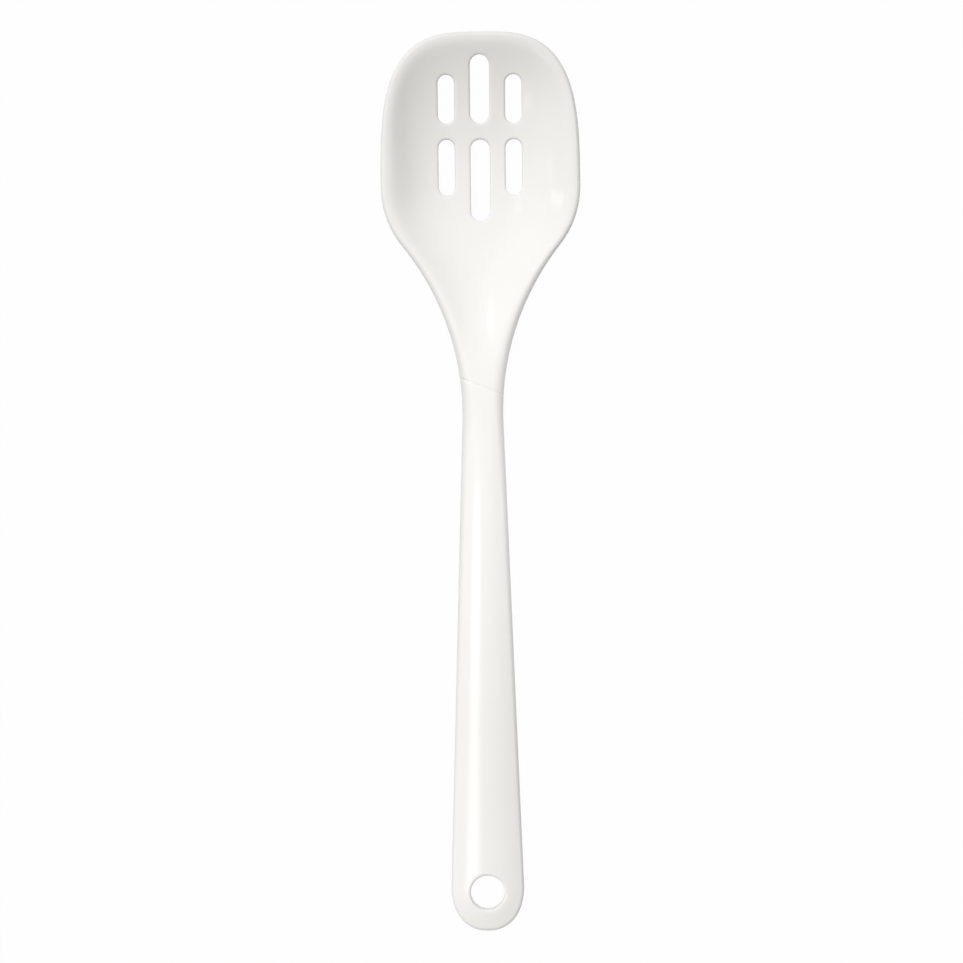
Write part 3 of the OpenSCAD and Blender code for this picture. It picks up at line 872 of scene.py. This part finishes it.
def set_camera(scene, stage):
    """Camera straight above the spoon, at the photograph's framing."""
    data = bpy.data.cameras.new("camera")
    camera = bpy.data.objects.new("camera", data)
    data.sensor_width = SENSOR_WIDTH
    distance = stage.camera_height - PIXEL_LEVEL
    data.lens = SENSOR_WIDTH * distance / (stage.pixel_size * IMAGE_WIDTH)
    camera.location = (*CAMERA_PLACE, stage.camera_height)
    camera.rotation_euler = (0.0, 0.0, stage.camera_roll)
    scene.collection.objects.link(camera)
    scene.camera = camera


class SPOON_OT_slotted_head(bpy.types.Operator):
    """Mould the slotted head with its dished floor, rounded rim and drain slots"""

    bl_idname = "spoon.slotted_head"
    bl_label = "Slotted Head"

    def execute(self, context):
        scene = context.scene
        bowl, slots = scene.spoon_bowl, scene.spoon_slots
        form = SpoonForm(bowl, scene.spoon_handle)
        material = moulded_melamine(scene.spoon_finish)
        front = slots.bridge_at - slots.bridge_width / 2
        rear = slots.bridge_at + slots.bridge_width / 2
        rows = [(0.0, slots.mid_width, front - slots.front_mid, slots.front_mid),
                (0.0, slots.mid_width, rear, slots.rear_mid)]
        for x in (-slots.pitch, slots.pitch):
            rows.append((x, slots.side_width, front - slots.front_side, slots.front_side))
            rows.append((x, slots.side_width, rear, slots.rear_side))
        places = [(width, span, (x, form.tip_at - start - span / 2, 0.0))
                  for x, width, start, span in rows]
        pattern = slot_pattern_tree(slot_ring_tree(), places)
        rings = run_tree(pattern, bpy.data.meshes.new("slot_rings"), {
            "Wall": bowl.wall, "Lip": slots.lip, "Material": material})
        s, edge = piece_rungs(form, bowl.wide_at, 1, TIP_RUNGS, True)
        blank = make_blank("head_blank", form, s, edge, rings, bowl.wall)
        piece = press("head_moulding", form, blank, material)
        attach(piece, BODY)
        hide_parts("slotted_head")
        return {"FINISHED"}


class SPOON_OT_handle(bpy.types.Operator):
    """Mould the crowned handle with its rounded end and hanging hole"""

    bl_idname = "spoon.handle"
    bl_label = "Handle"

    def execute(self, context):
        scene = context.scene
        grip = scene.spoon_handle
        form = SpoonForm(scene.spoon_bowl, grip)
        material = moulded_melamine(scene.spoon_finish)
        middle = (0.0, form.tip_at - grip.length + grip.hole_from_end, 0.0)
        pattern = slot_pattern_tree(
            slot_ring_tree(), [(grip.hole_diameter, grip.hole_diameter, middle)])
        ring = run_tree(pattern, bpy.data.meshes.new("hole_ring"), {
            "Wall": grip.tail_thickness, "Lip": grip.hole_lip, "Material": material})
        s, edge = piece_rungs(form, form.tail_at, -1, END_RUNGS, False)
        blank = make_blank("handle_blank", form, s, edge, ring, grip.tail_thickness)
        piece = press("handle_moulding", form, blank, material)
        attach(piece, BODY)
        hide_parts("handle")
        return {"FINISHED"}


class SPOON_OT_stage(bpy.types.Operator):
    """Set the paper floor, the softboxes and the camera above the spoon"""

    bl_idname = "spoon.stage"
    bl_label = "Stage"

    def execute(self, context):
        scene = context.scene
        stage = scene.spoon_stage
        lay_floor(scene, stage)
        light_room(scene, stage)
        for lamp in LAMPS:
            area_lamp(*lamp)
        set_camera(scene, stage)
        scene.view_settings.view_transform = "Standard"
        return {"FINISHED"}


class SPOON_PT_panel(bpy.types.Panel):
    """Sizes, finish and stage of the spoon"""

    bl_idname = "SPOON_PT_panel"
    bl_label = "Slotted Serving Spoon"
    bl_space_type = "VIEW_3D"
    bl_region_type = "UI"
    bl_category = "Spoon"

    def draw(self, context):
        for label, settings, operator in (
                ("Bowl", context.scene.spoon_bowl, None),
                ("Slots", context.scene.spoon_slots, SPOON_OT_slotted_head.bl_idname),
                ("Handle", context.scene.spoon_handle, SPOON_OT_handle.bl_idname),
                ("Finish", context.scene.spoon_finish, None),
                ("Stage", context.scene.spoon_stage, SPOON_OT_stage.bl_idname)):
            box = self.layout.box()
            box.label(text=label)
            for name in settings.__annotations__:
                box.prop(settings, name)
            if operator:
                box.operator(operator)


SETTINGS = {
    "spoon_bowl": SpoonBowlSettings,
    "spoon_slots": SpoonSlotSettings,
    "spoon_handle": SpoonHandleSettings,
    "spoon_finish": SpoonFinishSettings,
    "spoon_stage": SpoonStageSettings,
}
CLASSES = (
    *SETTINGS.values(), SPOON_OT_slotted_head, SPOON_OT_handle, SPOON_OT_stage, SPOON_PT_panel)


def register():
    for cls in CLASSES:
        bpy.utils.register_class(cls)
    for name, cls in SETTINGS.items():
        setattr(bpy.types.Scene, name, PointerProperty(type=cls))


def unregister():
    for name in SETTINGS:
        delattr(bpy.types.Scene, name)
    for cls in reversed(CLASSES):
        bpy.utils.unregister_class(cls)


def main():
    register()
    bpy.ops.spoon.slotted_head()
    bpy.ops.spoon.handle()
    bpy.ops.spoon.stage()


if __name__ == "__main__":
    main()
